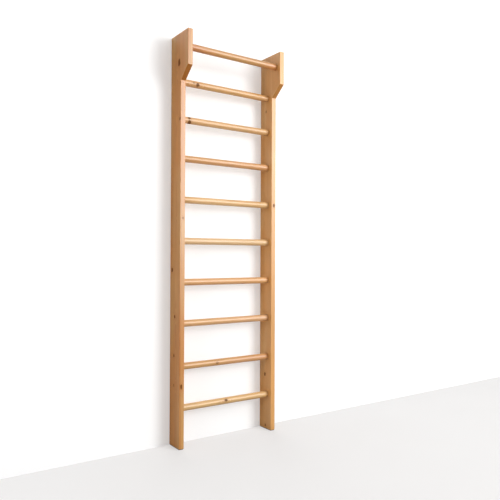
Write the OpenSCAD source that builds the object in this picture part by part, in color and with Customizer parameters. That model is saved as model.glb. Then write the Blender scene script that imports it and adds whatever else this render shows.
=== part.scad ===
// Wall bars: two uprights with forward heads, round rungs between them and a
// pull-up bar at the top. Millimetres. The origin is on the floor, midway
// between the uprights and midway between the wall plane and the head fronts.
// +X runs along the wall, +Y into the wall and +Z up.

/* [Overall] */
// Overall height, from the floor to the top of the heads
overall_h = 2100; // [1700:1:2700]
// Overall width, over the outer faces of both uprights
overall_w = 600; // [400:1:1000]

/* [Uprights and heads] */
// Thickness of each upright board
board_t = 28; // [23:0.1:40]
// Depth of an upright, from the wall to its front edge
upright_d = 106; // [80:0.1:140]
// How far a head stands forward of its upright
head_reach = 73; // [50:0.1:140]
// Height of a head's front edge
head_front_h = 179; // [140:1:260]
// Rise of the sloping underside of a head
head_slope_rise = 62; // [20:1:120]

/* [Rungs and bar] */
// Diameter of the rungs and of the pull-up bar
rung_d = 35; // [28:0.1:44]
// Height of the lowest rung's axis above the floor
first_rung_z = 198; // [120:1:300]
// How much taller than its neighbours the gap between rungs 2 and 3 is
wide_gap_extra = 7; // [0:0.1:20]
// Axis spacing of rungs 7 and 8
rung_8_spacing = 200; // [120:1:240]
// Axis spacing of rungs 8 and 9
rung_9_spacing = 192; // [120:1:240]
// Drop from the top of the heads to the highest rung's axis
top_rung_drop = 237; // [180:1:300]
// Drop from the top of the heads to the pull-up bar's axis
bar_drop = 77; // [60:1:120]
// Distance from a front edge back to the axis of the rung or bar behind it
rung_setback = 42; // [26:0.1:50]
// Depth of the blind sockets that hold the rungs and the bar
socket_depth = 18; // [12:0.1:21]
// Radial gap round a rung in its socket, taken up by glue
socket_gap = 0.1; // [0.05:0.05:0.3]
// Gap between a rung's end and the bottom of its socket
socket_end_gap = 0.5; // [0.2:0.1:2]
// Chamfer on the ends of the rungs and the bar
rung_chamfer = 1.5; // [0.5:0.1:3]

/* [Screws] */
// Shank diameter of a rung screw
rung_screw_d = 5; // [4:0.1:6]
// Head diameter of a rung screw
rung_screw_head_d = 9.5; // [8:0.1:11]
// How far a rung screw bites into its rung
rung_screw_bite = 16.5; // [8:0.1:22]
// Shank diameter of a bar screw
bar_screw_d = 6; // [5:0.1:7]
// Head diameter of a bar screw
bar_screw_head_d = 11; // [9:0.1:13]
// How far a bar screw bites into the pull-up bar
bar_screw_bite = 20.5; // [8:0.1:24]
// Radial clearance round every screw
screw_gap = 0.1; // [0.05:0.05:0.2]
// Width of the cross recess in a screw head
recess_w = 1; // [0.6:0.1:1.4]
// Depth of the cross recess in a screw head
recess_depth = 1.6; // [0.8:0.1:2]

/* [Wall hangers] */
// Width of a keyhole hanger plate
plate_w = 20; // [17:0.1:22]
// Length of a keyhole hanger plate
plate_l = 72; // [66:0.1:90]
// Thickness of a keyhole hanger plate
plate_t = 2.5; // [1.5:0.1:3]
// Gap between a plate and the edge of its recess
plate_gap = 0.2; // [0.1:0.1:0.4]
// Diameter of the round entry of a keyhole
keyhole_entry_d = 11; // [8:0.1:12]
// Width of the narrow slot of a keyhole
keyhole_slot_w = 5.5; // [4:0.1:6]
// Rise from the entry's centre to the centre of the slot's closed end
keyhole_rise = 14; // [10:0.1:18]
// How much wider than the entry the pocket behind it is, on each side
pocket_margin = 1; // [0.5:0.1:3]
// Depth of the pocket, from the upright's rear edge
pocket_depth = 13; // [8:0.1:20]
// Shank diameter of a plate screw
plate_screw_d = 3.5; // [3:0.1:4.5]
// Head diameter of a plate screw
plate_screw_head_d = 7; // [6:0.1:8]
// Length of a plate screw
plate_screw_l = 25; // [16:0.1:35]
// Distance from a plate's end to the axis of its screw
plate_screw_inset = 9; // [7:0.1:11]
// Drop from the top of the heads to the centre of the upper plates
upper_plate_drop = 150; // [110:1:190]

/* [Foot pads] */
// Thickness of the felt pad under each upright
pad_t = 3; // [1:0.1:6]
// How far a pad is set in from the edges of its upright
pad_inset = 2; // [1:0.1:5]

/* [Hidden] */
RUNGS = 9;
// Rungs 1 to 7 share out the height below rung 8
EVEN_RUNGS = 7;
// How far a cutting shape runs past the face that it cuts
CUT = 1;
PINE_BOARD = [0.80, 0.58, 0.36];
PINE_DOWEL = [0.93, 0.74, 0.50];
ZINC = [0.74, 0.74, 0.72];
HANGER_STEEL = [0.62, 0.64, 0.66];
FELT = [0.30, 0.25, 0.21];
$fn = 48;

wall_y = (upright_d + head_reach) / 2;
front_y = wall_y - upright_d;
head_y = -wall_y;
inner_x = overall_w / 2 - board_t;
board_x = inner_x + board_t / 2;
socket_x = inner_x + socket_depth / 2;

rung_y = front_y + rung_setback;
bar_y = head_y + rung_setback;
bar_z = overall_h - bar_drop;
rung_9_z = overall_h - top_rung_drop;
rung_8_z = rung_9_z - rung_9_spacing;
rung_7_z = rung_8_z - rung_8_spacing;
even_spacing = (rung_7_z - wide_gap_extra - first_rung_z) / (EVEN_RUNGS - 1);
rung_l = 2 * (inner_x + socket_depth - socket_end_gap);

rung_screw_l = wall_y - rung_y - rung_d / 2 + rung_screw_bite;
bar_screw_l = bar_drop - rung_d / 2 + bar_screw_bite;

upper_plate_z = overall_h - upper_plate_drop;
lower_plate_z = (rung_z(1) + rung_z(2)) / 2;
plate_screw_z = plate_l / 2 - plate_screw_inset;

function rung_z(i) =
    i == 9 ? rung_9_z
    : i == 8 ? rung_8_z
    : first_rung_z + (i - 1) * even_spacing + (i > 2 ? wide_gap_extra : 0);

// ---- screws -------------------------------------------------------------

// Countersunk screw body along +Z, its head's flat face at z = 0. With a
// gap it is the cavity that such a screw sits in, open through that face.
module screw_shape(head_d, shank_d, length, gap = 0) {
    head_r = head_d / 2;
    shank_r = shank_d / 2;
    open = gap > 0 ? CUT : 0;
    rotate_extrude()
        polygon([
            [0, -open],
            [head_r + gap, -open],
            [head_r + gap, 0],
            [shank_r + gap, head_r - shank_r],
            [shank_r + gap, length - shank_d],
            [0, length + 2 * gap]
        ]);
}

module screw(head_d, shank_d, length) {
    color(ZINC)
        difference() {
            screw_shape(head_d, shank_d, length);
            for (a = [0, 90])
                rotate([0, 0, a])
                    translate([-head_d * 0.3, -recess_w / 2, -CUT])
                        cube([head_d * 0.6, recess_w, CUT + recess_depth]);
        }
}

// Places a child that points along +Z so that it goes forward into the rear edge
module from_rear(x, z) {
    translate([x, wall_y, z])
        rotate([90, 0, 0])
            children();
}

// Places a child that points along +Z so that it goes down into the head's top
module from_top(x) {
    translate([x, bar_y, overall_h])
        rotate([180, 0, 0])
            children();
}

module rung_screw_cavity(x, z) {
    from_rear(x, z)
        screw_shape(rung_screw_head_d, rung_screw_d, rung_screw_l, screw_gap);
}

module bar_screw_cavity(x) {
    from_top(x)
        screw_shape(bar_screw_head_d, bar_screw_d, bar_screw_l, screw_gap);
}

module rung_screws(side) {
    for (i = [1:RUNGS])
        from_rear(side * socket_x, rung_z(i))
            screw(rung_screw_head_d, rung_screw_d, rung_screw_l);
}

module bar_screws() {
    for (side = [-1, 1])
        from_top(side * socket_x)
            screw(bar_screw_head_d, bar_screw_d, bar_screw_l);
}

// ---- rungs and bar ------------------------------------------------------

// Round bar along X with chamfered ends, centred on the origin
module dowel() {
    r = rung_d / 2;
    rotate([0, 90, 0])
        rotate_extrude()
            polygon([
                [0, -rung_l / 2],
                [r - rung_chamfer, -rung_l / 2],
                [r, -rung_l / 2 + rung_chamfer],
                [r, rung_l / 2 - rung_chamfer],
                [r - rung_chamfer, rung_l / 2],
                [0, rung_l / 2]
            ]);
}

module rung(i) {
    color(PINE_DOWEL)
        difference() {
            translate([0, rung_y, rung_z(i)])
                dowel();
            for (side = [-1, 1])
                rung_screw_cavity(side * socket_x, rung_z(i));
        }
}

module pull_up_bar() {
    color(PINE_DOWEL)
        difference() {
            translate([0, bar_y, bar_z])
                dowel();
            for (side = [-1, 1])
                bar_screw_cavity(side * socket_x);
        }
}

// ---- wall hangers -------------------------------------------------------

// Flat shape with round ends along its second axis, centred on the origin
module stadium(width, length) {
    square([width, length - width], center = true);
    for (end = [-1, 1])
        translate([0, end * (length - width) / 2])
            circle(d = width);
}

// Flat shape swept by a disc that rises from the keyhole's entry to its slot's end
module keyhole_sweep(width) {
    translate([0, keyhole_rise / 2])
        stadium(width, keyhole_rise + width);
}

// Where the keyhole's entry lies, below the middle of its plate
keyhole_z = -keyhole_rise / 2;

module plate_screw_places(z) {
    for (end = [-1, 1])
        from_rear(board_x, z + end * plate_screw_z)
            children();
}

module plate_screw_cavities(z) {
    plate_screw_places(z)
        screw_shape(plate_screw_head_d, plate_screw_d, plate_screw_l, screw_gap);
}

module hanger_plate(z) {
    color(HANGER_STEEL)
        difference() {
            from_rear(board_x, z)
                linear_extrude(plate_t)
                    stadium(plate_w, plate_l);
            from_rear(board_x, z + keyhole_z)
                translate([0, 0, -CUT])
                    linear_extrude(plate_t + 2 * CUT) {
                        circle(d = keyhole_entry_d);
                        keyhole_sweep(keyhole_slot_w);
                    }
            plate_screw_cavities(z);
        }
}

// Everything cut from the upright's rear edge for one hanger
module hanger_recess(z) {
    from_rear(board_x, z)
        translate([0, 0, -CUT])
            linear_extrude(CUT + plate_t)
                stadium(plate_w + 2 * plate_gap, plate_l + 2 * plate_gap);
    from_rear(board_x, z + keyhole_z)
        linear_extrude(pocket_depth)
            keyhole_sweep(keyhole_entry_d + 2 * pocket_margin);
    plate_screw_cavities(z);
}

module hanger_screws() {
    for (side = [0, 1])
        mirror([side, 0, 0])
            for (z = [lower_plate_z, upper_plate_z])
                plate_screw_places(z)
                    screw(plate_screw_head_d, plate_screw_d, plate_screw_l);
}

// ---- uprights and feet --------------------------------------------------

// Side outline of an upright and its head, drawn in Y and Z
module upright_outline() {
    polygon([
        [wall_y, pad_t],
        [wall_y, overall_h],
        [head_y, overall_h],
        [head_y, overall_h - head_front_h],
        [front_y, overall_h - head_front_h - head_slope_rise],
        [front_y, pad_t]
    ]);
}

module socket(y, z) {
    translate([inner_x - CUT, y, z])
        rotate([0, 90, 0])
            cylinder(h = socket_depth + CUT, r = rung_d / 2 + socket_gap);
}

// The right-hand upright; the left one is its mirror image
module upright() {
    color(PINE_BOARD)
        difference() {
            translate([inner_x, 0, 0])
                rotate([90, 0, 90])
                    linear_extrude(board_t)
                        upright_outline();
            for (i = [1:RUNGS]) {
                socket(rung_y, rung_z(i));
                rung_screw_cavity(socket_x, rung_z(i));
            }
            socket(bar_y, bar_z);
            bar_screw_cavity(socket_x);
            hanger_recess(lower_plate_z);
            hanger_recess(upper_plate_z);
        }
}

module foot_pad() {
    color(FELT)
        translate([inner_x + pad_inset, front_y + pad_inset, 0])
            cube([board_t - 2 * pad_inset, upright_d - 2 * pad_inset, pad_t]);
}

// ---- the assembly -------------------------------------------------------

mirror([1, 0, 0]) upright();  // left_upright
upright();  // right_upright
for (i = [1:RUNGS])
    rung(i);
pull_up_bar();
rung_screws(-1);  // left_rung_screws
rung_screws(1);  // right_rung_screws
bar_screws();
mirror([1, 0, 0]) hanger_plate(upper_plate_z);  // upper_left_hanger
hanger_plate(upper_plate_z);  // upper_right_hanger
mirror([1, 0, 0]) hanger_plate(lower_plate_z);  // lower_left_hanger
hanger_plate(lower_plate_z);  // lower_right_hanger
hanger_screws();
mirror([1, 0, 0]) foot_pad();  // left_foot_pad
foot_pad();  // right_foot_pad
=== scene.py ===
"""Looks of the wall bars: pine boards and dowels, steel fixings and felt feet, in a plain studio."""

import logging
import math
from dataclasses import dataclass, field
from enum import Enum
from typing import Any, Sequence

import bmesh
import bpy
from bmesh.types import BMesh, BMVert
from bpy.types import Material, Node, NodeSocket, NodeTree, Object
from mathutils import Matrix, Vector


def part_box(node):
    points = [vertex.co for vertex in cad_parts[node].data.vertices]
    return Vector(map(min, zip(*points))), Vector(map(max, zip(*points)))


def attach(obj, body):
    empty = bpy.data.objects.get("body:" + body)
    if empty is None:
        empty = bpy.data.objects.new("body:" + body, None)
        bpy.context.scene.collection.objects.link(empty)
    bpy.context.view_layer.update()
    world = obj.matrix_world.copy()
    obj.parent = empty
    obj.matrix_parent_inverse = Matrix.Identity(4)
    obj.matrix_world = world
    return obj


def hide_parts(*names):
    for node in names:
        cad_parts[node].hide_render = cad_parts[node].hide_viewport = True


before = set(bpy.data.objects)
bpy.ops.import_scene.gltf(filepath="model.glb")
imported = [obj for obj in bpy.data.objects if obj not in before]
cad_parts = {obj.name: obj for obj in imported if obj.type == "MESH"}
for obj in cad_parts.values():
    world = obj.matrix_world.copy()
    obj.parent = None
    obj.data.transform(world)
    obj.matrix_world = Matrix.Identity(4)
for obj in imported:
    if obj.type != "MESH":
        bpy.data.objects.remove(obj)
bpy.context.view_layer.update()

LOG = logging.getLogger("wall_bars")
BODY = "root"
MM = 0.001
TURN = 2 * math.pi
# How far a cutting shape runs past the face that it cuts
CUT = 1 * MM
# The marks that a wooden piece's faces carry for its material
FACE_MARKS = ("end", "arris")
# Cosines of the angle to the grain: below the first a face is side grain, above the second end grain
SIDE_GRAIN, END_GRAIN = 0.5, 0.8
# Cosine of the angle to a flat face's normal, above which a face belongs to that flat
FLAT_ENOUGH = 0.995
# How near a slab's end rounding comes to a full half circle, which would merge its corners
NEARLY = 0.9999
Colour = tuple[float, float, float, float]


class Side(Enum):
    """Which upright something belongs to, as the sign of its X."""

    LEFT = -1
    RIGHT = 1

    @property
    def word(self) -> str:
        """The side's name in the CAD nodes."""
        return self.name.lower()


class Grain(Enum):
    """The direction that a wooden piece's grain runs in."""

    UP = "up"
    ACROSS = "across"

    def axis(self) -> Vector:
        """The grain's direction."""
        return Vector((0, 0, 1)) if self is Grain.UP else Vector((1, 0, 0))

    def to_trunk(self) -> Matrix:
        """Finds the turn that brings the grain to Z.

        Returns:
            The turn, which keeps the piece right-handed.
        """
        if self is Grain.UP:
            return Matrix.Identity(3)
        return Matrix(((0, 1, 0), (0, 0, 1), (1, 0, 0)))


# ---- shapes --------------------------------------------------------------


def centre_of(node: str) -> Vector:
    """The middle of a CAD node's box."""
    low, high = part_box(node)
    return (low + high) / 2


def size_of(node: str) -> Vector:
    """The three sides of a CAD node's box."""
    low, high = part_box(node)
    return high - low


def at(x: float, y: float, z: float, angle: float = 0.0, axis: str = "X") -> Matrix:
    """The place of a shape: turned about an axis, by degrees, and then moved."""
    return Matrix.Translation((x, y, z)) @ Matrix.Rotation(math.radians(angle), 4, axis)


def to_object(shape: BMesh, name: str) -> Object:
    """Makes a scene object from a bmesh and frees the bmesh.

    Args:
        shape: the finished shape, where it belongs.
        name: the new object's name.

    Returns:
        The object, at the origin, with outward normals.
    """
    bmesh.ops.remove_doubles(shape, verts=shape.verts, dist=1e-6)
    bmesh.ops.recalc_face_normals(shape, faces=shape.faces)
    mesh = bpy.data.meshes.new(name)
    shape.to_mesh(mesh)
    shape.free()
    made = bpy.data.objects.new(name, mesh)
    bpy.context.scene.collection.objects.link(made)
    return made


def add_shape(target: BMesh, shape: BMesh, place: Matrix) -> None:
    """Adds a copy of a shape to another one.

    Args:
        target: the bmesh that grows.
        shape: what is added; it stays usable.
        place: where the copy goes.
    """
    loose = bpy.data.meshes.new("loose")
    shape.to_mesh(loose)
    loose.transform(place)
    target.from_mesh(loose)
    bpy.data.meshes.remove(loose)


def lathe(profile: Sequence[tuple[float, float]], steps: int) -> BMesh:
    """Turns a profile once round the Z axis.

    Args:
        profile: (radius, height) pairs that start and end on the axis.
        steps: how many stretches go round.

    Returns:
        A closed solid of revolution.
    """
    shape = bmesh.new()
    verts = [shape.verts.new((radius, 0.0, height)) for radius, height in profile]
    edges = [shape.edges.new(pair) for pair in zip(verts, verts[1:])]
    bmesh.ops.spin(
        shape, geom=verts + edges, cent=(0, 0, 0), axis=(0, 0, 1), dvec=(0, 0, 0),
        angle=TURN, steps=steps, use_merge=True, use_normal_flip=False, use_duplicate=False,
    )
    bmesh.ops.remove_doubles(shape, verts=shape.verts, dist=1e-7)
    bmesh.ops.recalc_face_normals(shape, faces=shape.faces)
    return shape


def bevel(shape: BMesh, edges: list[bmesh.types.BMEdge], radius: float, steps: int) -> None:
    """Rounds some edges of a shape.

    Args:
        shape: the shape, which changes.
        edges: the edges to round.
        radius: the rounding's radius.
        steps: stretches across each rounding.
    """
    bmesh.ops.bevel(
        shape, geom=edges, offset=radius, offset_type="OFFSET", segments=steps,
        profile=0.5, affect="EDGES", clamp_overlap=True, material=-1,
    )


def slab(size: Sequence[float], along: int, radius: float, steps: int) -> BMesh:
    """Makes a block whose edges along one axis are rounded.

    Args:
        size: the block's three sides.
        along: 0, 1 or 2, the axis that the rounded edges run along.
        radius: the rounding's radius.
        steps: stretches in each quarter round.

    Returns:
        The block, centred on the origin.
    """
    shape = bmesh.new()
    bmesh.ops.create_cube(shape, size=1.0, matrix=Matrix.Diagonal((*size, 1.0)))
    corners = [
        edge for edge in shape.edges
        if abs((edge.verts[0].co - edge.verts[1].co)[along]) > size[along] / 2
    ]
    bevel(shape, corners, radius, steps)
    bmesh.ops.remove_doubles(shape, verts=shape.verts, dist=1e-6)
    return shape


def ease(shape: BMesh, radius: float, steps: int, least_turn: float = 0.6) -> None:
    """Rounds every edge of a shape that turns sharply enough.

    Args:
        shape: the shape, which changes.
        radius: the rounding's radius.
        steps: stretches across each rounding.
        least_turn: the least turn between two faces that counts, in radians.
    """
    bmesh.ops.recalc_face_normals(shape, faces=shape.faces)
    sharp = [edge for edge in shape.edges if edge.calc_face_angle(0.0) > least_turn]
    bevel(shape, sharp, radius, steps)


def combine(body: Object, tools: list[BMesh], operation: str = "DIFFERENCE") -> None:
    """Cuts shapes out of an object, or joins them to it, one after the other.

    Args:
        body: the object whose mesh is replaced by the result.
        tools: closed shapes, which are freed.
        operation: DIFFERENCE or UNION.
    """
    helpers = [to_object(tool, f"tool_{index}") for index, tool in enumerate(tools)]
    for helper in helpers:
        step = body.modifiers.new("combine", "BOOLEAN")
        step.operation = operation
        step.solver = "EXACT"
        step.object = helper
    settled = body.evaluated_get(bpy.context.evaluated_depsgraph_get())
    result = bpy.data.meshes.new_from_object(settled)
    body.modifiers.clear()
    body.data = result
    for helper in helpers:
        bpy.data.objects.remove(helper)


def finish_piece(piece: Object, node: str, material: Material, sharp: float = 35.0) -> Object:
    """Shades a piece, dresses it and puts it on the frame in place of its CAD node.

    Args:
        piece: the piece, with its final shape.
        node: the CAD node that it stands for.
        material: its finish.
        sharp: edges that turn more than this many degrees stay sharp.

    Returns:
        The piece.
    """
    piece.data.materials.clear()
    piece.data.materials.append(material)
    piece.data.shade_smooth()
    piece.data.set_sharp_from_angle(angle=math.radians(sharp))
    weights = piece.modifiers.new("face weights", "WEIGHTED_NORMAL")
    weights.keep_sharp = True
    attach(piece, BODY)
    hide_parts(node)
    LOG.info("%s: %d faces", piece.name, len(piece.data.polygons))
    return piece


# ---- shader nodes --------------------------------------------------------


class Graph:
    """Lays out the nodes of one shader tree."""

    def __init__(self, tree: NodeTree) -> None:
        """Takes an empty tree to fill."""
        self.tree = tree

    def plug(self, target: NodeSocket, value: Any) -> None:
        """Links a socket to another, or sets its plain value.

        Args:
            target: the input socket.
            value: an output socket or a plain value.
        """
        if isinstance(value, NodeSocket):
            self.tree.links.new(value, target)
        else:
            target.default_value = value

    def node(self, kind: str, settings: dict[str, Any] | None = None, **inputs: Any) -> Node:
        """Adds a node.

        Args:
            kind: the node's type, without its ShaderNode prefix.
            settings: properties to set on the node itself.
            inputs: values or sockets for its inputs, with _ for a space.

        Returns:
            The new node.
        """
        made = self.tree.nodes.new("ShaderNode" + kind)
        for name, value in (settings or {}).items():
            setattr(made, name, value)
        for name, value in inputs.items():
            self.plug(made.inputs[name.replace("_", " ")], value)
        return made

    def math(self, operation: str, *values: Any) -> NodeSocket:
        """Adds one step of arithmetic on numbers.

        Args:
            operation: what it does, such as ADD.
            values: numbers or sockets.

        Returns:
            The result's socket.
        """
        made = self.node("Math", {"operation": operation})
        for target, value in zip(made.inputs, values):
            self.plug(target, value)
        return made.outputs[0]

    def vector(self, operation: str, *values: Any) -> NodeSocket:
        """Adds one step of arithmetic on vectors.

        Args:
            operation: what it does, such as SUBTRACT.
            values: vectors or sockets.

        Returns:
            The result's socket.
        """
        made = self.node("VectorMath", {"operation": operation})
        for target, value in zip(made.inputs, values):
            self.plug(target, value)
        return made.outputs["Value" if operation in ("LENGTH", "DOT_PRODUCT") else "Vector"]

    def scale(self, vector: Any, factor: Any) -> NodeSocket:
        """A vector made longer by a factor."""
        return self.node("VectorMath", {"operation": "SCALE"}, Vector=vector, Scale=factor).outputs[0]

    def spread(self, value: Any, low: float, high: float, to_low: float, to_high: float) -> NodeSocket:
        """Maps one range to another, and stops at its ends.

        Args:
            value: the number or socket to map.
            low: where the first range starts.
            high: where it ends.
            to_low: what its start becomes.
            to_high: what its end becomes.

        Returns:
            The result's socket.
        """
        made = self.node(
            "MapRange", {"clamp": True},
            Value=value, From_Min=low, From_Max=high, To_Min=to_low, To_Max=to_high,
        )
        return made.outputs["Result"]

    def noise(self, place: Any, sizes: Sequence[float], seed: Any, detail: float = 2.0) -> Node:
        """Adds a noise texture.

        Args:
            place: the socket that gives the place.
            sizes: the frequency along each axis.
            seed: picks the pattern.
            detail: how many finer layers it has.

        Returns:
            The noise node.
        """
        return self.node(
            "TexNoise", {"noise_dimensions": "4D"},
            Vector=self.vector("MULTIPLY", place, tuple(sizes)), W=seed, Scale=1.0, Detail=detail,
        )

    def blend(self, share: Any, first: Any, second: Any, mode: str = "MIX") -> NodeSocket:
        """Mixes two colours.

        Args:
            share: how much of the second shows.
            first: a colour or socket.
            second: a colour or socket.
            mode: the blend type.

        Returns:
            The mixed colour's socket.
        """
        made = self.node("Mix", {"data_type": "RGBA", "blend_type": mode, "clamp_factor": True})
        for index, value in ((0, share), (6, first), (7, second)):
            self.plug(made.inputs[index], value)
        return made.outputs[2]

    def group(self, tree: NodeTree, **inputs: Any) -> Node:
        """Places a node group.

        Args:
            tree: the group.
            inputs: values or sockets for its inputs, with _ for a space.

        Returns:
            The group's node.
        """
        made = self.tree.nodes.new("ShaderNodeGroup")
        made.node_tree = tree
        for name, value in inputs.items():
            self.plug(made.inputs[name.replace("_", " ")], value)
        return made


def new_group(name: str, inputs: dict[str, str], outputs: dict[str, str]) -> tuple[Graph, Any, Any]:
    """Starts a shader node group.

    Args:
        name: the group's name.
        inputs: each input's name and kind, such as Float.
        outputs: each output's name and kind.

    Returns:
        The graph, the sockets that come in, and the sockets that go out.
    """
    tree = bpy.data.node_groups.new(name, "ShaderNodeTree")
    for direction, sockets in (("INPUT", inputs), ("OUTPUT", outputs)):
        for label, kind in sockets.items():
            tree.interface.new_socket(name=label, in_out=direction, socket_type="NodeSocket" + kind)
    source = tree.nodes.new("NodeGroupInput")
    sink = tree.nodes.new("NodeGroupOutput")
    return Graph(tree), source.outputs, sink.inputs


def new_material(name: str) -> tuple[Material, Graph]:
    """Starts a material with an empty shader tree.

    Args:
        name: the material's name.

    Returns:
        The material, and the graph that fills its tree.
    """
    made = bpy.data.materials.new(name)
    made.use_nodes = True
    made.node_tree.nodes.clear()
    return made, Graph(made.node_tree)


def knot_group() -> NodeTree:
    """Builds the group that draws one knot and bends the rings round it.

    Returns:
        A group that adds its knot to the masks that come in.
    """
    masks = {"Push": "Float", "Heart": "Float", "Rim": "Float", "Halo": "Float"}
    graph, given, out = new_group(
        "Pine knot",
        {"Vector": "Vector", "Centre": "Vector", "Turn": "Vector", "Radius": "Float", "Length": "Float",
         "Strength": "Float", "Seed": "Float", **masks},
        masks,
    )
    offset = graph.vector("SUBTRACT", given["Vector"], given["Centre"])
    turned = graph.node(
        "VectorRotate", {"rotation_type": "EULER_XYZ"}, Vector=offset, Rotation=given["Turn"]
    )
    apart = graph.node("SeparateXYZ", Vector=turned.outputs[0])
    along = graph.math("DIVIDE", apart.outputs["Z"], given["Length"])
    flat = graph.node("CombineXYZ", X=0.0, Y=apart.outputs["Y"], Z=along)
    reach = graph.math("DIVIDE", graph.vector("LENGTH", flat.outputs[0]), given["Radius"])
    ragged = graph.noise(given["Vector"], (160.0, 160.0, 90.0), given["Seed"])
    away = graph.math("MULTIPLY", reach, graph.spread(ragged.outputs[0], 0.3, 0.7, 0.84, 1.18))
    heart = graph.math("MULTIPLY", graph.spread(away, 0.75, 1.15, 1.0, 0.0), given["Strength"])
    from_rim = graph.math("ABSOLUTE", graph.math("SUBTRACT", away, 1.0))
    rim = graph.math("MULTIPLY", graph.spread(from_rim, 0.0, 0.3, 1.0, 0.0), given["Strength"])
    halo = graph.math("EXPONENT", graph.math("MULTIPLY", graph.math("POWER", away, 2.0), -0.28))
    push = graph.math("EXPONENT", graph.math("MULTIPLY", graph.math("POWER", reach, 2.0), -0.11))
    graph.plug(out["Push"], graph.math("ADD", given["Push"], push))
    graph.plug(out["Heart"], graph.math("MAXIMUM", given["Heart"], heart))
    graph.plug(out["Rim"], graph.math("MAXIMUM", given["Rim"], rim))
    graph.plug(
        out["Halo"], graph.math("MAXIMUM", given["Halo"], graph.math("MULTIPLY", halo, given["Strength"]))
    )
    return graph.tree


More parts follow.
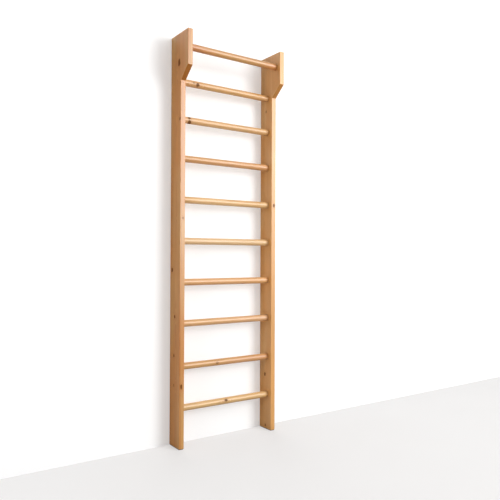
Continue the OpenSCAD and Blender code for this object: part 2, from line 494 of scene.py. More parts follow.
def pine_group() -> NodeTree:
    """Builds the group that draws pine, with its grain along Z.

    Returns:
        A group that gives colour, roughness and relief.
    """
    graph, given, out = new_group(
        "Pine wood",
        {"Vector": "Vector", "Pith": "Vector", "Ring": "Float", "Wander": "Float", "Seed": "Float",
         "Early": "Color", "Late": "Color", "Sap": "Color", "Streak": "Float", "Resin": "Color",
         "Push": "Float", "Heart": "Float", "Rim": "Float", "Halo": "Float", "End": "Float",
         "Arris": "Float"},
        {"Color": "Color", "Roughness": "Float", "Height": "Float", "Oil": "Float"},
    )
    place, seed = given["Vector"], given["Seed"]
    # The rings are shells round the pith, which wanders along the trunk
    slow = graph.noise(place, (3.0, 3.0, 0.9), seed, 1.0).outputs["Color"]
    quick = graph.noise(place, (26.0, 26.0, 5.0), seed).outputs["Color"]
    drift = graph.scale(graph.vector("SUBTRACT", slow, (0.5, 0.5, 0.5)), given["Wander"])
    shiver = graph.scale(graph.vector("SUBTRACT", quick, (0.5, 0.5, 0.5)), 0.0035)
    moved = graph.vector("ADD", place, graph.vector("ADD", drift, shiver))
    flat = graph.vector("MULTIPLY", graph.vector("SUBTRACT", moved, given["Pith"]), (1.0, 1.0, 0.0))
    radius = graph.vector("LENGTH", flat)
    years = graph.node("CombineXYZ", X=radius, Y=0.0, Z=0.0).outputs[0]
    uneven = graph.noise(years, (90.0, 0.0, 0.0), seed, 1.0).outputs[0]
    phase = graph.math("DIVIDE", radius, given["Ring"])
    phase = graph.math("ADD", phase, graph.math("MULTIPLY", uneven, 2.2))
    phase = graph.math("ADD", phase, graph.math("MULTIPLY", given["Push"], 2.6))
    within = graph.math("FRACT", phase)
    rise = graph.math("POWER", graph.spread(within, 0.0, 0.86, 0.0, 1.0), 2.2)
    late = graph.math("MULTIPLY", rise, graph.spread(within, 0.88, 1.0, 1.0, 0.0))
    # Streaks and fibres run along the grain, at three scales
    streak = graph.noise(place, (48.0, 48.0, 0.9), seed).outputs[0]
    fibre = graph.noise(place, (1300.0, 1300.0, 24.0), seed).outputs[0]
    tone = graph.noise(place, (7.0, 7.0, 1.6), seed, 1.0).outputs[0]
    cells = graph.vector("MULTIPLY", place, (520.0, 520.0, 17.0))
    duct = graph.node("TexVoronoi", Vector=cells, Scale=1.0, Randomness=1.0)
    ducts = graph.math("MULTIPLY", graph.spread(duct.outputs["Distance"], 0.10, 0.2, 1.0, 0.0), late)
    dark = graph.math("MULTIPLY", late, graph.spread(tone, 0.3, 0.7, 0.45, 0.8))
    young = graph.noise(moved, (9.0, 9.0, 1.9), graph.math("ADD", seed, 0.5), 1.0).outputs[0]
    colour = graph.blend(graph.spread(young, 0.5, 0.62, 0.0, 0.85), given["Early"], given["Sap"])
    colour = graph.blend(dark, colour, given["Late"])
    streaks = graph.math("MULTIPLY", graph.spread(streak, 0.42, 0.72, 0.0, 1.0), given["Streak"])
    colour = graph.blend(streaks, colour, given["Late"])
    colour = graph.blend(graph.math("MULTIPLY", ducts, 0.5), colour, given["Resin"])
    level = graph.math(
        "MULTIPLY", graph.spread(tone, 0.25, 0.75, 0.9, 1.08), graph.spread(fibre, 0.25, 0.75, 0.93, 1.05)
    )
    # Eased edges are painted 6 % lighter: a painted highlight along the arrises
    level = graph.math("ADD", level, graph.math("MULTIPLY", given["Arris"], 0.06))
    grey = graph.node("CombineColor", Red=level, Green=level, Blue=level).outputs[0]
    colour = graph.blend(1.0, colour, grey, "MULTIPLY")
    colour = graph.blend(graph.math("MULTIPLY", given["Halo"], 0.55), colour, given["Late"])
    colour = graph.blend(graph.math("MULTIPLY", given["Heart"], 0.85), colour, given["Resin"])
    colour = graph.blend(graph.math("MULTIPLY", given["Rim"], 0.6), colour, (0.050, 0.011, 0.002, 1.0))
    # End grain is painted darker: partly the real darker tone of end grain, partly painted shade, as its
    # strength is set to darken the downward-facing slope under each head
    end_grain_and_shade = graph.blend(1.0, given["Late"], (0.66, 0.66, 0.66, 1.0), "MULTIPLY")
    colour = graph.blend(graph.math("MULTIPLY", given["End"], 0.8), colour, end_grain_and_shade)
    graph.plug(out["Color"], colour)
    rough = graph.spread(fibre, 0.3, 0.7, 0.40, 0.50)
    rough = graph.math("SUBTRACT", rough, graph.math("MULTIPLY", late, 0.06))
    rough = graph.math("SUBTRACT", rough, graph.math("MULTIPLY", given["Arris"], 0.05))
    graph.plug(out["Roughness"], graph.math("ADD", rough, graph.math("MULTIPLY", given["End"], 0.2)))
    # Knots and end grain soak the oil up, so less of it stays on them
    bare = graph.math("MAXIMUM", graph.math("MAXIMUM", given["Heart"], given["Rim"]), given["End"])
    graph.plug(out["Oil"], graph.math("SUBTRACT", 1.0, graph.math("MULTIPLY", bare, 0.97)))
    relief = graph.math("ADD", graph.math("MULTIPLY", late, 0.5), graph.math("MULTIPLY", fibre, 0.5))
    graph.plug(out["Height"], graph.math("SUBTRACT", relief, graph.math("MULTIPLY", ducts, 0.4)))
    return graph.tree


def zinc_group() -> NodeTree:
    """Builds the group that draws zinc plating.

    Returns:
        A group that gives colour, roughness and relief.
    """
    graph, given, out = new_group(
        "Zinc plating",
        {"Vector": "Vector", "Grain": "Float", "Bright": "Color", "Dull": "Color", "Smooth": "Float",
         "Rough": "Float"},
        {"Color": "Color", "Roughness": "Float", "Height": "Float"},
    )
    place = graph.scale(given["Vector"], given["Grain"])
    bloom = graph.noise(place, (1.0, 1.0, 1.0), 1.0, 3.0).outputs[0]
    speck = graph.noise(place, (9.0, 9.0, 9.0), 2.0).outputs[0]
    crystal = graph.node("TexVoronoi", Vector=graph.scale(place, 2.5), Scale=1.0, Randomness=1.0)
    spangle = graph.node("SeparateColor", Color=crystal.outputs["Color"]).outputs[0]
    clouds = graph.spread(bloom, 0.3, 0.7, 0.0, 0.75)
    mixed = graph.math("ADD", clouds, graph.math("MULTIPLY", spangle, 0.25))
    graph.plug(out["Color"], graph.blend(mixed, given["Bright"], given["Dull"]))
    share = graph.math("MULTIPLY", graph.spread(speck, 0.3, 0.7, 0.6, 1.0), mixed)
    span = graph.math("SUBTRACT", given["Rough"], given["Smooth"])
    graph.plug(out["Roughness"], graph.math("ADD", given["Smooth"], graph.math("MULTIPLY", share, span)))
    graph.plug(out["Height"], speck)
    return graph.tree


# ---- finishes ------------------------------------------------------------


@dataclass(frozen=True)
class Groups:
    """The shader node groups that the finishes share."""

    knot: NodeTree = field(default_factory=knot_group)
    pine: NodeTree = field(default_factory=pine_group)
    zinc: NodeTree = field(default_factory=zinc_group)


@dataclass(frozen=True)
class Knot:
    """Where a branch grew through a piece.

    at is a point on the knot's middle line, in metres from the middle of the
    piece. about turns that line round the grain and tilt raises it, in degrees.
    """

    at: tuple[float, float, float]
    radius: float
    length: float = 1.5
    about: float = 0.0
    tilt: float = 0.0
    strength: float = 1.0


@dataclass(frozen=True)
class PineFinish:
    """Satin oiled pine, as it was sawn for one piece."""

    name: str
    grain: Grain
    pith: tuple[float, float]
    seed: float
    ring: float = 0.0036
    wander: float = 0.03
    early: Colour = (0.65, 0.285, 0.066, 1.0)
    late: Colour = (0.46, 0.145, 0.020, 1.0)
    sap: Colour = (0.67, 0.385, 0.130, 1.0)
    resin: Colour = (0.120, 0.034, 0.004, 1.0)
    streak: float = 0.6
    coat: float = 1.0
    coat_roughness: float = 0.34
    coat_ior: float = 1.62
    gloss: float = 0.12
    knots: tuple[Knot, ...] = ()

    def material(self, middle: Vector, groups: Groups) -> Material:
        """Builds the material of one piece.

        Args:
            middle: the middle of the piece, where its pattern is centred.
            groups: the shared node groups.

        Returns:
            The new material.
        """
        made, graph = new_material(self.name)
        turn = self.grain.to_trunk()
        trunk = graph.node(
            "Mapping", Vector=graph.node("TexCoord").outputs["Object"],
            Location=-(turn @ middle), Rotation=turn.to_euler("XYZ"),
        ).outputs[0]
        masks: dict[str, Any] = {"Push": 0.0, "Heart": 0.0, "Rim": 0.0, "Halo": 0.0}
        for index, knot in enumerate(self.knots):
            placed = graph.group(
                groups.knot, Vector=trunk, Centre=turn @ Vector(knot.at),
                Turn=(0.0, math.radians(knot.tilt), math.radians(knot.about)), Radius=knot.radius,
                Length=knot.length, Strength=knot.strength, Seed=self.seed + index, **masks,
            )
            masks = {name: placed.outputs[name] for name in masks}
        marks = {
            name: graph.node("Attribute", {"attribute_name": name}).outputs["Fac"] for name in FACE_MARKS
        }
        wood = graph.group(
            groups.pine, Vector=trunk, Pith=(*self.pith, 0.0), Ring=self.ring, Wander=self.wander,
            Seed=self.seed, Early=self.early, Late=self.late, Sap=self.sap, Resin=self.resin,
            Streak=self.streak, End=marks["end"], Arris=marks["arris"], **masks,
        )
        relief = graph.node("Bump", Strength=0.35, Distance=0.0003, Height=wood.outputs["Height"])
        surface = graph.node(
            "BsdfPrincipled", Base_Color=wood.outputs["Color"], Roughness=wood.outputs["Roughness"],
            Normal=relief.outputs[0], Coat_Weight=graph.math("MULTIPLY", wood.outputs["Oil"], self.coat),
            Coat_Roughness=self.coat_roughness, Coat_IOR=self.coat_ior, Specular_IOR_Level=self.gloss,
        )
        graph.node("OutputMaterial", Surface=surface.outputs[0])
        return made


@dataclass(frozen=True)
class ZincFinish:
    """Zinc-plated steel with a faint bloom."""

    name: str
    grain: float
    bright: Colour
    dull: Colour
    smooth: float
    rough: float

    def material(self, groups: Groups) -> Material:
        """Builds the material.

        Args:
            groups: the shared node groups.

        Returns:
            The new material.
        """
        made, graph = new_material(self.name)
        plating = graph.group(
            groups.zinc, Vector=graph.node("TexCoord").outputs["Object"], Grain=self.grain,
            Bright=self.bright, Dull=self.dull, Smooth=self.smooth, Rough=self.rough,
        )
        relief = graph.node("Bump", Strength=0.25, Distance=0.00005, Height=plating.outputs["Height"])
        surface = graph.node(
            "BsdfPrincipled", Base_Color=plating.outputs["Color"], Roughness=plating.outputs["Roughness"],
            Metallic=1.0, Normal=relief.outputs[0],
        )
        graph.node("OutputMaterial", Surface=surface.outputs[0])
        return made


@dataclass(frozen=True)
class FeltFinish:
    """Pressed felt: matt, fibrous and slightly mottled."""

    name: str = "brown_felt"
    light: Colour = (0.105, 0.075, 0.055, 1.0)
    dark: Colour = (0.045, 0.030, 0.022, 1.0)
    sheen: float = 0.35
    sheen_roughness: float = 0.6

    def material(self) -> Material:
        """Builds the material.

        Returns:
            The new material.
        """
        made, graph = new_material(self.name)
        spot = graph.node("TexCoord").outputs["Object"]
        fluff = graph.noise(spot, (900.0, 900.0, 900.0), 3.0, 4.0).outputs[0]
        clump = graph.noise(spot, (160.0, 160.0, 160.0), 4.0).outputs[0]
        mixed = graph.math("MULTIPLY", fluff, graph.spread(clump, 0.3, 0.7, 0.7, 1.2))
        relief = graph.node("Bump", Strength=0.8, Distance=0.0004, Height=fluff)
        colour = graph.blend(graph.spread(mixed, 0.3, 0.7, 0.0, 1.0), self.dark, self.light)
        surface = graph.node(
            "BsdfPrincipled", Base_Color=colour, Roughness=graph.spread(fluff, 0.3, 0.7, 0.88, 1.0),
            Normal=relief.outputs[0], Sheen_Weight=self.sheen, Sheen_Roughness=self.sheen_roughness,
        )
        graph.node("OutputMaterial", Surface=surface.outputs[0])
        return made


def mark_faces(piece: Object, grain: Vector, flats: Sequence[Vector]) -> None:
    """Marks a wooden piece's end grain and its eased edges, for its material.

    Args:
        piece: the piece, with its final shape.
        grain: the direction that its grain runs in.
        flats: the normals of its flat faces; a face that fits none is an arris.
    """
    end, arris = (piece.data.attributes.new(name, "FLOAT", "FACE") for name in FACE_MARKS)
    for index, face in enumerate(piece.data.polygons):
        steep = abs(face.normal.dot(grain)) - SIDE_GRAIN
        end.data[index].value = min(1.0, max(0.0, steep) / (END_GRAIN - SIDE_GRAIN))
        level = max((abs(face.normal.dot(flat)) for flat in flats), default=1.0)
        arris.data[index].value = 0.0 if level > FLAT_ENOUGH else 1.0


# ---- fixings -------------------------------------------------------------


@dataclass
class Screw:
    """A countersunk wood screw along +Z, with the flat face of its head at Z = 0."""

    head: float
    shank: float
    length: float
    gap: float = 0.1 * MM
    recess_width: float = 1.0 * MM
    recess_depth: float = 1.6 * MM
    recess_reach: float = 0.3
    recess_taper: float = 0.62
    rim: float = 0.2 * MM
    neck_share: float = 0.74
    core_share: float = 0.64
    crest_share: float = 0.98
    root_share: float = 0.8
    flank_share: float = 0.3
    pitch_share: float = 0.55
    smooth_share: float = 0.34
    round_steps: int = 24

    def hole(self) -> BMesh:
        """Makes the hole that the screw sits in.

        Returns:
            A cutter that runs out past the head.
        """
        head, shank = self.head / 2, self.shank / 2
        return lathe(
            [
                (0.0, -CUT), (head + self.gap, -CUT), (head + self.gap, 0.0),
                (shank + self.gap, head - shank),
                (shank + self.gap, self.length - self.shank), (0.0, self.length + 2 * self.gap),
            ],
            self.round_steps,
        )

    def body(self) -> BMesh:
        """Turns the head, the smooth neck, the core and the point.

        Returns:
            A closed solid without a thread.
        """
        head = self.head / 2
        neck = self.shank / 2 * self.neck_share
        core = self.shank / 2 * self.core_share
        start = self.length * self.smooth_share
        return lathe(
            [
                (0.0, 0.0), (head - 1.5 * self.rim, 0.0), (head - 0.6 * self.rim, 0.35 * self.rim),
                (head - self.rim, self.rim), (neck, head - neck), (neck, start),
                (core, start + self.shank / 4), (core, self.length - self.shank), (0.0, self.length),
            ],
            self.round_steps,
        )

    def thread(self) -> BMesh:
        """Winds the thread round the core.

        Returns:
            A closed ridge that runs out at the neck and narrows to the point.
        """
        crest, core = self.shank / 2 * self.crest_share, self.shank / 2 * self.core_share
        pitch = self.shank * self.pitch_share
        start = self.length * self.smooth_share
        turns = math.floor((self.length - start - self.shank / 2) / pitch)
        shape = bmesh.new()
        root, flank = core * self.root_share, pitch * self.flank_share
        corners = [(root, -flank), (crest, 0.0), (root, flank)]
        verts = [shape.verts.new((radius, 0.0, start + height)) for radius, height in corners]
        edges = [shape.edges.new((verts[i], verts[(i + 1) % 3])) for i in range(3)]
        steps = self.round_steps * turns
        bmesh.ops.spin(
            shape, geom=verts + edges, cent=(0, 0, 0), axis=(0, 0, 1), dvec=(0, 0, pitch * turns / steps),
            angle=TURN * turns, steps=steps, use_merge=False, use_normal_flip=False, use_duplicate=False,
        )
        bmesh.ops.holes_fill(shape, edges=[edge for edge in shape.edges if edge.is_boundary], sides=3)
        tip = self.length - self.shank
        for vert in shape.verts:
            radius = vert.co.xy.length
            if radius > core:
                grown = min(1.0, max(0.0, (vert.co.z - start) / pitch))
                vert.co.xy *= (core + (radius - core) * grown) / radius
            if vert.co.z > tip:
                vert.co.xy *= (self.length - vert.co.z) / self.shank
        bmesh.ops.recalc_face_normals(shape, faces=shape.faces)
        return shape

    def recess(self) -> BMesh:
        """Makes the cross recess in the head.

        Returns:
            A cutter that narrows downwards.
        """
        shape = bmesh.new()
        half, reach = self.recess_width / 2, self.head * self.recess_reach
        corners: list[Vector] = []
        for quarter in range(4):
            turn = Matrix.Rotation(quarter * TURN / 4, 3, "Z")
            arm = ((half, half, 0), (half, reach, 0), (-half, reach, 0))
            corners += [turn @ Vector(spot) for spot in arm]
        face = shape.faces.new([shape.verts.new(corner - Vector((0, 0, CUT))) for corner in corners])
        grown = bmesh.ops.extrude_face_region(shape, geom=[face])
        floor = [part for part in grown["geom"] if isinstance(part, BMVert)]
        bmesh.ops.translate(shape, verts=floor, vec=(0, 0, CUT + self.recess_depth))
        bmesh.ops.scale(shape, verts=floor, vec=(self.recess_taper, self.recess_taper, 1.0))
        bmesh.ops.recalc_face_normals(shape, faces=shape.faces)
        return shape

    def build(self, node: str, places: Sequence[Matrix], material: Material) -> Object:
        """Makes all the screws of one CAD node.

        Args:
            node: the CAD node.
            places: where each screw goes.
            material: their finish.

        Returns:
            The finished piece.
        """
        sample = to_object(self.body(), "sample")
        combine(sample, [self.thread()], "UNION")
        combine(sample, [self.recess()])
        one, many = bmesh.new(), bmesh.new()
        one.from_mesh(sample.data)
        for place in places:
            add_shape(many, one, place)
        one.free()
        bpy.data.objects.remove(sample)
        return finish_piece(to_object(many, f"zinc_{node}"), node, material)


@dataclass
class Fixings:
    """The three kinds of screw, and where each of them goes."""

    rung_shank: float = 5 * MM
    bar_shank: float = 6 * MM
    plate_shank: float = 3.5 * MM
    plate_screw_inset: float = 9 * MM
    levels: tuple[str, ...] = ("lower", "upper")

    def __post_init__(self) -> None:
        """Reads the screws' heads and lengths from the CAD model."""
        rung, bar, plate = (size_of(f"{name}_screws") for name in ("left_rung", "bar", "hanger"))
        plate_head = plate.x - 2 * abs(centre_of("upper_left_hanger").x)
        self.rung_screw = Screw(rung.x, self.rung_shank, rung.y)
        self.bar_screw = Screw(bar.y, self.bar_shank, bar.z)
        self.plate_screw = Screw(plate_head, self.plate_shank, plate.y)
        self.rungs = sorted(
            (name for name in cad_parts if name.startswith("rung_")),
            key=lambda name: centre_of(name).z,
        )
        self.wall_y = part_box("left_upright")[1].y
        self.socket_x = abs(centre_of("left_rung_screws").x)

    def plates(self, side: Side) -> list[str]:
        """The hanger nodes of one side."""
        return [f"{level}_{side.word}_hanger" for level in self.levels]

    def rung_places(self, side: Side) -> list[Matrix]:
        """Where the rung screws of one side go: forward from the rear edge."""
        x = side.value * self.socket_x
        return [at(x, self.wall_y, centre_of(name).z, 90) for name in self.rungs]

    def bar_places(self, side: Side) -> list[Matrix]:
        """Where the bar screw of one side goes: down from the top of the head."""
        bar = centre_of("pull_up_bar")
        return [at(side.value * self.socket_x, bar.y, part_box("bar_screws")[1].z, 180)]

    def plate_places(self, side: Side) -> list[Matrix]:
        """Finds where the plate screws of one side go.

        Args:
            side: the upright's side.

        Returns:
            The place of each screw.
        """
        found = []
        for plate in self.plates(side):
            centre, reach = centre_of(plate), size_of(plate).z / 2 - self.plate_screw_inset
            found += [at(centre.x, self.wall_y, centre.z + end * reach, 90) for end in (-1, 1)]
        return found

    def build(self, material: Material) -> None:
        """Makes every screw.

        Args:
            material: their finish.
        """
        for side in Side:
            self.rung_screw.build(f"{side.word}_rung_screws", self.rung_places(side), material)
        both = [place for side in Side for place in self.bar_places(side)]
        self.bar_screw.build("bar_screws", both, material)
        both = [place for side in Side for place in self.plate_places(side)]
        self.plate_screw.build("hanger_screws", both, material)


@dataclass
class HangerPlate:
    """A keyhole plate of pressed steel, let in flush in a rear edge."""

    node: str
    fixings: Fixings
    entry: float = 11 * MM
    slot: float = 5.5 * MM
    rise: float = 14 * MM
    edge_radius: float = 0.3 * MM
    edge_steps: int = 2
    edge_turn: float = 1.0
    entry_steps: int = 40
    round_steps: int = 14

    def stadium(self, size: Sequence[float]) -> BMesh:
        """A plate with round ends."""
        return slab(size, 1, size[0] / 2 * NEARLY, self.round_steps)

    def build(self, material: Material) -> Object:
        """Makes the plate.

        Args:
            material: its finish.

        Returns:
            The finished piece.
        """
        centre, size = centre_of(self.node), size_of(self.node)
        piece = to_object(self.stadium(size), f"steel_{self.node}")
        slot = self.stadium((self.slot, size.y + 2 * CUT, self.slot + self.rise))
        half = size.y / 2 + CUT
        radius = self.entry / 2
        entry = lathe([(0, -half), (radius, -half), (radius, half), (0, half)], self.entry_steps)
        bmesh.ops.transform(entry, matrix=at(0, 0, -self.rise / 2, 90), verts=entry.verts)
        holes = bmesh.new()
        hole = self.fixings.plate_screw.hole()
        for end in (-1, 1):
            reach = size.z / 2 - self.fixings.plate_screw_inset
            add_shape(holes, hole, at(0, size.y / 2, end * reach, 90))
        hole.free()
        combine(piece, [slot, entry, holes])
        shape = bmesh.new()
        shape.from_mesh(piece.data)
        bmesh.ops.remove_doubles(shape, verts=shape.verts, dist=2e-5)
        bmesh.ops.dissolve_degenerate(shape, edges=shape.edges, dist=1e-5)
        ease(shape, self.edge_radius, self.edge_steps, self.edge_turn)
        bmesh.ops.translate(shape, verts=shape.verts, vec=centre)
        shape.to_mesh(piece.data)
        shape.free()
        return finish_piece(piece, self.node, material)


# ---- wooden pieces -------------------------------------------------------


@dataclass
class Upright:
    """One upright board with its head, sockets, recesses and eased edges."""

    side: Side
    finish: PineFinish
    fixings: Fixings
    depth: float = 106 * MM
    head_front: float = 179 * MM
    slope_rise: float = 62 * MM
    edge_radius: float = 2.2 * MM
    edge_steps: int = 4
    socket_depth: float = 18 * MM
    socket_gap: float = 0.1 * MM
    socket_flare: float = 0.7 * MM
    plate_gap: float = 0.2 * MM
    pocket_width: float = 13 * MM
    pocket_length: float = 27 * MM
    pocket_depth: float = 13 * MM
    bed_steps: int = 14
    pocket_steps: int = 12
    round_steps: int = 72

    @property
    def node(self) -> str:
        """The CAD node that this upright stands for."""
        return f"{self.side.word}_upright"

    def blank(self) -> BMesh:
        """Saws the board to its outline and eases its edges.

        Returns:
            The board without any holes.
        """
        low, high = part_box(self.node)
        front, corner = high.y - self.depth, high.z - self.head_front
        outline = [
            (high.y, low.z), (high.y, high.z), (low.y, high.z), (low.y, corner),
            (front, corner - self.slope_rise), (front, low.z),
        ]
        shape = bmesh.new()
        face = shape.faces.new([shape.verts.new((low.x, y, z)) for y, z in outline])
        grown = bmesh.ops.extrude_face_region(shape, geom=[face])
        moved = [part for part in grown["geom"] if isinstance(part, BMVert)]
        bmesh.ops.translate(shape, verts=moved, vec=(high.x - low.x, 0, 0))
        ease(shape, self.edge_radius, self.edge_steps)
        return shape

    def sockets(self) -> BMesh:
        """Makes the sockets of the rungs and the bar.

        Returns:
            One cutter for all of them.
        """
        tool = bmesh.new()
        inner = self.side.value * (self.fixings.socket_x - self.socket_depth / 2)
        for name in [*self.fixings.rungs, "pull_up_bar"]:
            centre, radius = centre_of(name), size_of(name).z / 2 + self.socket_gap
            flare = radius + self.socket_flare
            hole = lathe(
                [
                    (0, -CUT), (flare, -CUT), (flare, 0), (radius, self.socket_flare),
                    (radius, self.socket_depth), (0, self.socket_depth),
                ],
                self.round_steps,
            )
            add_shape(tool, hole, at(inner, centre.y, centre.z, 90 * self.side.value, "Y"))
            hole.free()
        return tool

    def plate_beds(self) -> BMesh:
        """Makes the shallow beds that the hanger plates lie in.

        Returns:
            One cutter for both of them.
        """
        tool, grow = bmesh.new(), 2 * self.plate_gap
        for plate in self.fixings.plates(self.side):
            size, centre = size_of(plate), centre_of(plate)
            wide = size.x + grow
            bed = slab((wide, 2 * size.y, size.z + grow), 1, wide / 2 * NEARLY, self.bed_steps)
            add_shape(tool, bed, at(centre.x, self.fixings.wall_y, centre.z))
            bed.free()
        return tool

    def pockets_and_holes(self) -> BMesh:
        """Makes the keyhole pockets and every screw hole.

        Returns:
            One cutter for all of them.
        """
        tool, fixings = bmesh.new(), self.fixings
        for plate in fixings.plates(self.side):
            size = (self.pocket_width, 2 * self.pocket_depth, self.pocket_length)
            pocket = slab(size, 1, self.pocket_width / 2 * NEARLY, self.pocket_steps)
            centre = centre_of(plate)
            add_shape(tool, pocket, at(centre.x, fixings.wall_y, centre.z))
            pocket.free()
        for screw, places in (
            (fixings.rung_screw, fixings.rung_places(self.side)),
            (fixings.bar_screw, fixings.bar_places(self.side)),
            (fixings.plate_screw, fixings.plate_places(self.side)),
        ):
            hole = screw.hole()
            for place in places:
                add_shape(tool, hole, place)
            hole.free()
        return tool

    def build(self, groups: Groups) -> Object:
        """Makes the upright.

        Args:
            groups: the shared node groups.

        Returns:
            The finished piece.
        """
        piece = to_object(self.blank(), f"pine_{self.node}")
        combine(piece, [self.sockets(), self.plate_beds(), self.pockets_and_holes()])
        slope = Vector((0.0, self.slope_rise, size_of(self.node).y - self.depth)).normalized()
        flats = [Vector((1, 0, 0)), Vector((0, 1, 0)), Vector((0, 0, 1)), slope]
        mark_faces(piece, self.finish.grain.axis(), flats)
        material = self.finish.material(centre_of(self.node), groups)
        return finish_piece(piece, self.node, material)


@dataclass
class Dowel:
    """A round rung or the pull-up bar, turned along X, with screw bores near its ends."""

    node: str
    finish: PineFinish
    screw: Screw
    places: Sequence[Matrix]
    end_radius: float = 1.5 * MM
    end_steps: int = 5
    round_steps: int = 96

    def blank(self) -> BMesh:
        """Turns the dowel and rounds its ends.

        Returns:
            The dowel without its screw bores.
        """
        centre, size = centre_of(self.node), size_of(self.node)
        radius, half, ease_by = size.z / 2, size.x / 2, self.end_radius
        arc = []
        for step in range(self.end_steps + 1):
            angle = TURN / 4 * step / self.end_steps
            out, along = ease_by * math.sin(angle), ease_by * math.cos(angle)
            arc.append((radius - ease_by + out, half - ease_by + along))
        profile = [(0.0, half), *arc, *((r, -h) for r, h in reversed(arc)), (0.0, -half)]
        shape = lathe(profile, self.round_steps)
        bmesh.ops.transform(shape, matrix=at(*centre, 90, "Y"), verts=shape.verts)
        return shape

    def build(self, groups: Groups) -> Object:
        """Makes the dowel.

        Args:
            groups: the shared node groups.

        Returns:
            The finished piece.
        """
        piece = to_object(self.blank(), f"pine_{self.node}")
        bores, hole = bmesh.new(), self.screw.hole()
        for place in self.places:
            add_shape(bores, hole, place)
        hole.free()
        combine(piece, [bores])
        mark_faces(piece, self.finish.grain.axis(), [])
        material = self.finish.material(centre_of(self.node), groups)
        return finish_piece(piece, self.node, material)


@dataclass
class FootPad:
    """A felt pad glued under an upright."""

    side: Side
    corner_radius: float = 2.5 * MM
    corner_steps: int = 6
    edge_radius: float = 0.9 * MM
    edge_steps: int = 4
    edge_turn: float = 1.0

    def build(self, material: Material) -> Object:
        """Makes the pad.

        Args:
            material: its finish.

        Returns:
            The finished piece.
        """
        node = f"{self.side.word}_foot_pad"
        shape = slab(size_of(node), 2, self.corner_radius, self.corner_steps)
        ease(shape, self.edge_radius, self.edge_steps, self.edge_turn)
        bmesh.ops.translate(shape, verts=shape.verts, vec=centre_of(node))
        return finish_piece(to_object(shape, f"felt_{node}"), node, material)


# ---- studio --------------------------------------------------------------


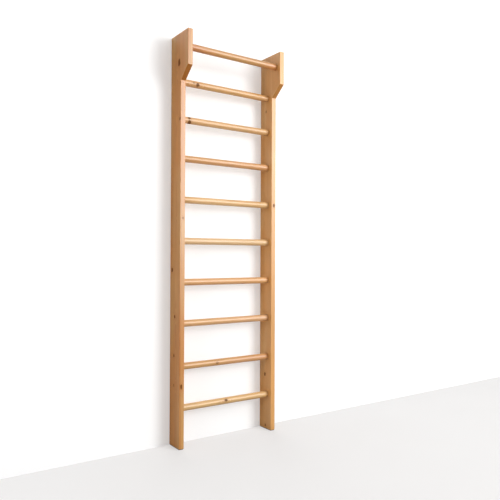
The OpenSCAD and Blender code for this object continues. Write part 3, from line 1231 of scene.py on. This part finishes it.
@dataclass
class Studio:
    """The floor, the backdrop, the lights and the camera."""

    floor_colour: Colour = (0.34, 0.336, 0.334, 1.0)
    floor_glow: float = 1.45
    wall_colour: Colour = (0.72, 0.72, 0.72, 1.0)
    wall_glow: float = 0.5
    span: float = 12.0
    wall_height: float = 6.0
    clearance: float = 0.4 * MM
    camera_at: tuple[float, float, float] = (-1.6309, -2.5628, 0.9758)
    yaw: float = 34.621
    pitch: float = 0.565
    roll: float = 0.244
    lens: float = 40.926

    def sheet_material(self, name: str, colour: Colour, glow: float) -> Material:
        """A plain matt sheet that shows from its front only and lets the lamps shine through.

        Args:
            name: the material's name.
            colour: the sheet's colour.
            glow: how much brighter it looks than the lamps make it.

        Returns:
            The new material.
        """
        made, graph = new_material(name)
        spot = graph.node("TexCoord").outputs["Object"]
        cloud = graph.noise(spot, (1.5, 1.5, 1.5), 5.0).outputs[0]
        tint = graph.blend(graph.spread(cloud, 0.3, 0.7, 0.0, 0.03), colour, (0.5, 0.5, 0.5, 1.0))
        ray = graph.node("LightPath").outputs
        strength = graph.math("MULTIPLY", ray["Is Camera Ray"], glow)
        paint = graph.node("BsdfDiffuse", Color=tint)
        light = graph.node("Emission", Color=tint, Strength=strength)
        matt = graph.node("AddShader")
        for index, value in enumerate((paint.outputs[0], light.outputs[0])):
            graph.plug(matt.inputs[index], value)
        clear = graph.node("BsdfTransparent")
        front = graph.math("SUBTRACT", 1.0, graph.node("NewGeometry").outputs["Backfacing"])
        solid = graph.math("SUBTRACT", 1.0, ray["Is Shadow Ray"])
        shown = graph.math("MULTIPLY", front, solid)
        mixed = graph.node("MixShader")
        for index, value in enumerate((shown, clear.outputs[0], matt.outputs[0])):
            graph.plug(mixed.inputs[index], value)
        graph.node("OutputMaterial", Surface=mixed.outputs[0])
        return made

    def sheet(self, name: str, size: tuple[float, float], place: Matrix, material: Material) -> None:
        """Lays one flat sheet of the set.

        Args:
            name: the sheet's name.
            size: its two sides.
            place: where it lies.
            material: its finish.
        """
        shape = bmesh.new()
        spread = Matrix.Diagonal((*size, 1, 1))
        bmesh.ops.create_grid(shape, x_segments=1, y_segments=1, size=0.5, matrix=place @ spread)
        mesh = bpy.data.meshes.new(name)
        shape.to_mesh(mesh)
        shape.free()
        mesh.materials.append(material)
        made = bpy.data.objects.new(name, mesh)
        bpy.context.scene.collection.objects.link(made)

    def lamp(
        self, name: str, spot: Sequence[float], aim: Sequence[float], size: float, power: float,
        tall: float = 1.0, shiny: bool = True,
    ) -> None:
        """Hangs one soft lamp.

        Args:
            name: the lamp's name.
            spot: where it hangs.
            aim: the point that it faces.
            size: its width.
            power: its power in watts.
            tall: its height as a share of its width.
            shiny: whether shiny surfaces mirror it.
        """
        light = bpy.data.lights.new(name, "AREA")
        light.shape = "RECTANGLE"
        light.size = size
        light.size_y = size * tall
        light.energy = power
        lamp = bpy.data.objects.new(name, light)
        lamp.location = spot
        lamp.rotation_euler = (Vector(aim) - Vector(spot)).to_track_quat("-Z", "Y").to_euler()
        lamp.visible_camera = False
        lamp.visible_glossy = shiny
        bpy.context.scene.collection.objects.link(lamp)

    def sky(self, seen: float, light: float) -> None:
        """Sets the world's light.

        Args:
            seen: how bright it looks.
            light: how much light it gives.
        """
        world = bpy.data.worlds.new("studio")
        world.use_nodes = True
        world.node_tree.nodes.clear()
        graph = Graph(world.node_tree)
        is_seen = graph.node("LightPath").outputs["Is Camera Ray"]
        level = graph.spread(is_seen, 0.0, 1.0, light, seen)
        glow = graph.node("Background", Color=(1.0, 0.985, 0.97, 1.0), Strength=level)
        graph.node("OutputWorld", Surface=glow.outputs[0])
        bpy.context.scene.world = world

    def camera(self) -> None:
        """Sets up the camera."""
        yaw, pitch, roll = (math.radians(angle) for angle in (self.yaw, self.pitch, self.roll))
        ahead = Vector((math.sin(yaw) * math.cos(pitch), math.cos(yaw) * math.cos(pitch), math.sin(pitch)))
        level = Vector((math.cos(yaw), -math.sin(yaw), 0.0))
        above = level.cross(ahead)
        right = level * math.cos(roll) + above * math.sin(roll)
        up = above * math.cos(roll) - level * math.sin(roll)
        turn = Matrix((right, up, -ahead)).transposed().to_4x4()
        data = bpy.data.cameras.new("camera")
        data.lens = self.lens
        made = bpy.data.objects.new("camera", data)
        made.matrix_world = Matrix.Translation(self.camera_at) @ turn
        bpy.context.scene.collection.objects.link(made)
        bpy.context.scene.camera = made

    def build(self) -> None:
        """Sets up everything."""
        wall_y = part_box("left_upright")[1].y + self.clearance
        self.sheet(
            "floor", (self.span, self.span), at(0, 0, -self.clearance),
            self.sheet_material("floor_paint", self.floor_colour, self.floor_glow),
        )
        self.sheet(
            "backdrop", (self.span, self.wall_height), at(0, wall_y, self.wall_height / 2, 90),
            self.sheet_material("wall_paint", self.wall_colour, self.wall_glow),
        )
        self.sky(0.93, 0.1)
        self.lamp("key", (2.1, -5.0, 5.0), (0.0, 0.0, 1.3), 6.0, 260.0)
        self.lamp("window", (2.5, -4.4, 2.2), (0.0, 0.0, 1.4), 2.2, 160.0, 1.35)
        self.lamp("left_fill", (-3.0, -0.8, 1.4), (0.0, 0.0, 1.1), 1.6, 30.0, shiny=False)
        self.lamp("rear_fill", (1.5, 3.6, 2.8), (0.0, 0.0, 1.0), 2.5, 80.0)
        self.camera()
        bpy.context.scene.view_settings.view_transform = "Standard"


# ---- the whole object ----------------------------------------------------


def toned(colour: Colour, tone: Sequence[float]) -> Colour:
    """A colour made lighter or darker by a factor for each of its parts."""
    red, green, blue = (min(1.0, part * factor) for part, factor in zip(colour, tone))
    return red, green, blue, 1.0


def boards(fixings: Fixings) -> list[Upright]:
    """Picks a cut of pine for each upright.

    Args:
        fixings: the screws and where they go.

    Returns:
        The two uprights.
    """
    left = PineFinish(
        "oiled_pine_left_board", Grain.UP, pith=(0.035, 0.022), seed=3.0,
        knots=(
            Knot((-0.014, 0.002, 0.899), 0.010, 1.6, tilt=12.0),
            Knot((-0.014, 0.068, -0.151), 0.007, 1.5),
            Knot((-0.014, 0.037, -0.388), 0.006, 1.3),
            Knot((-0.014, 0.043, -0.587), 0.005, 1.4),
            Knot((-0.014, 0.044, -0.738), 0.005, 1.3, strength=0.5),
            Knot((-0.003, -0.016, -0.736), 0.005, 2.2, about=-90.0),
            Knot((-0.010, -0.006, 0.613), 0.005, 1.5, about=-45.0, strength=0.7),
            Knot((0.002, -0.016, 0.113), 0.004, 1.4, about=-90.0, strength=0.6),
        ),
    )
    right = PineFinish(
        "oiled_pine_right_board", Grain.UP, pith=(-0.04, -0.018), seed=12.0,
        early=(0.80, 0.42, 0.135, 1.0), late=(0.58, 0.23, 0.048, 1.0), sap=(0.86, 0.56, 0.25, 1.0),
        streak=0.3,
        knots=(
            Knot((0.002, -0.016, 0.205), 0.006, 1.4, about=-90.0),
            Knot((-0.014, 0.038, 0.741), 0.005, 1.5, strength=0.5),
            Knot((-0.014, 0.040, -0.746), 0.006, 1.5),
            Knot((-0.014, 0.034, -1.031), 0.005, 1.4, strength=0.8),
        ),
    )
    return [Upright(Side.LEFT, left, fixings), Upright(Side.RIGHT, right, fixings)]


def dowels(fixings: Fixings) -> list[Dowel]:
    """Picks a cut of pine for each rung and for the pull-up bar.

    Args:
        fixings: the screws and where they go.

    Returns:
        The rungs from the lowest up, and then the bar.
    """
    knots = {
        "rung_9": (
            Knot((-0.188, -0.016, -0.004), 0.008, 1.1),
            Knot((-0.211, -0.016, 0.002), 0.005, 1.3, strength=0.5),
        ),
        "rung_8": (
            Knot((-0.236, -0.012, 0.012), 0.009, 0.8),
            Knot((-0.234, -0.012, -0.012), 0.009, 0.9),
        ),
        "rung_2": (Knot((-0.063, -0.017, 0.0), 0.006, 1.3, strength=0.5),),
        "rung_1": (Knot((-0.006, -0.016, 0.006), 0.005, 2.0),),
    }
    # How much lighter or darker than plain pine each one is, in red, green and blue: partly each dowel's
    # own tone and partly painted sheen, as lifts that grow from red to blue, strongest on the middle
    # rungs, whiten the colour the way gloss would
    tones_and_sheen = (
        (1.08, 1.25, 1.22), (0.98, 0.94, 0.92), (1.10, 1.20, 1.40), (1.13, 1.16, 1.15), (1.16, 1.45, 1.75),
        (1.18, 1.40, 1.50), (1.03, 1.01, 0.99), (1.06, 1.16, 1.15), (1.02, 1.03, 0.98), (0.90, 0.69, 0.50),
    )
    early, late = (0.70, 0.385, 0.165, 1.0), (0.50, 0.20, 0.058, 1.0)
    made = []
    for index, name in enumerate([*fixings.rungs, "pull_up_bar"]):
        # Each dowel comes from another side of its trunk, and from one of four depths in it
        angle = 2.4 * index
        reach = 0.028 + 0.004 * (index % 4)
        finish = PineFinish(
            f"oiled_pine_{name}", Grain.ACROSS, pith=(reach * math.cos(angle), reach * math.sin(angle)),
            seed=20.0 + 3.0 * index, ring=0.0030 + 0.0003 * (index % 3), wander=0.02, streak=0.3,
            early=toned(early, tones_and_sheen[index]), late=toned(late, tones_and_sheen[index]), knots=knots.get(name, ()),
        )
        is_bar = name == "pull_up_bar"
        places = [place for side in Side for place in fixings.bar_places(side)] if is_bar else [
            fixings.rung_places(side)[index] for side in Side
        ]
        made.append(Dowel(name, finish, fixings.bar_screw if is_bar else fixings.rung_screw, places))
    return made


def main() -> None:
    """Builds the pieces and the studio."""
    logging.basicConfig(level=logging.INFO, format="%(name)s: %(message)s")
    groups, fixings = Groups(), Fixings()
    for upright in boards(fixings):
        upright.build(groups)
    for dowel in dowels(fixings):
        dowel.build(groups)
    zinc = ZincFinish(
        "bright_zinc", grain=420.0, bright=(0.78, 0.78, 0.76, 1.0), dull=(0.55, 0.55, 0.54, 1.0),
        smooth=0.22, rough=0.4,
    )
    fixings.build(zinc.material(groups))
    steel = ZincFinish(
        "dull_zinc_sheet", grain=130.0, bright=(0.66, 0.67, 0.69, 1.0), dull=(0.42, 0.43, 0.45, 1.0),
        smooth=0.3, rough=0.52,
    )
    sheet_steel = steel.material(groups)
    for side in Side:
        for plate in fixings.plates(side):
            HangerPlate(plate, fixings).build(sheet_steel)
    felt = FeltFinish().material()
    for side in Side:
        FootPad(side).build(felt)
    Studio().build()


if __name__ == "__main__":
    main()
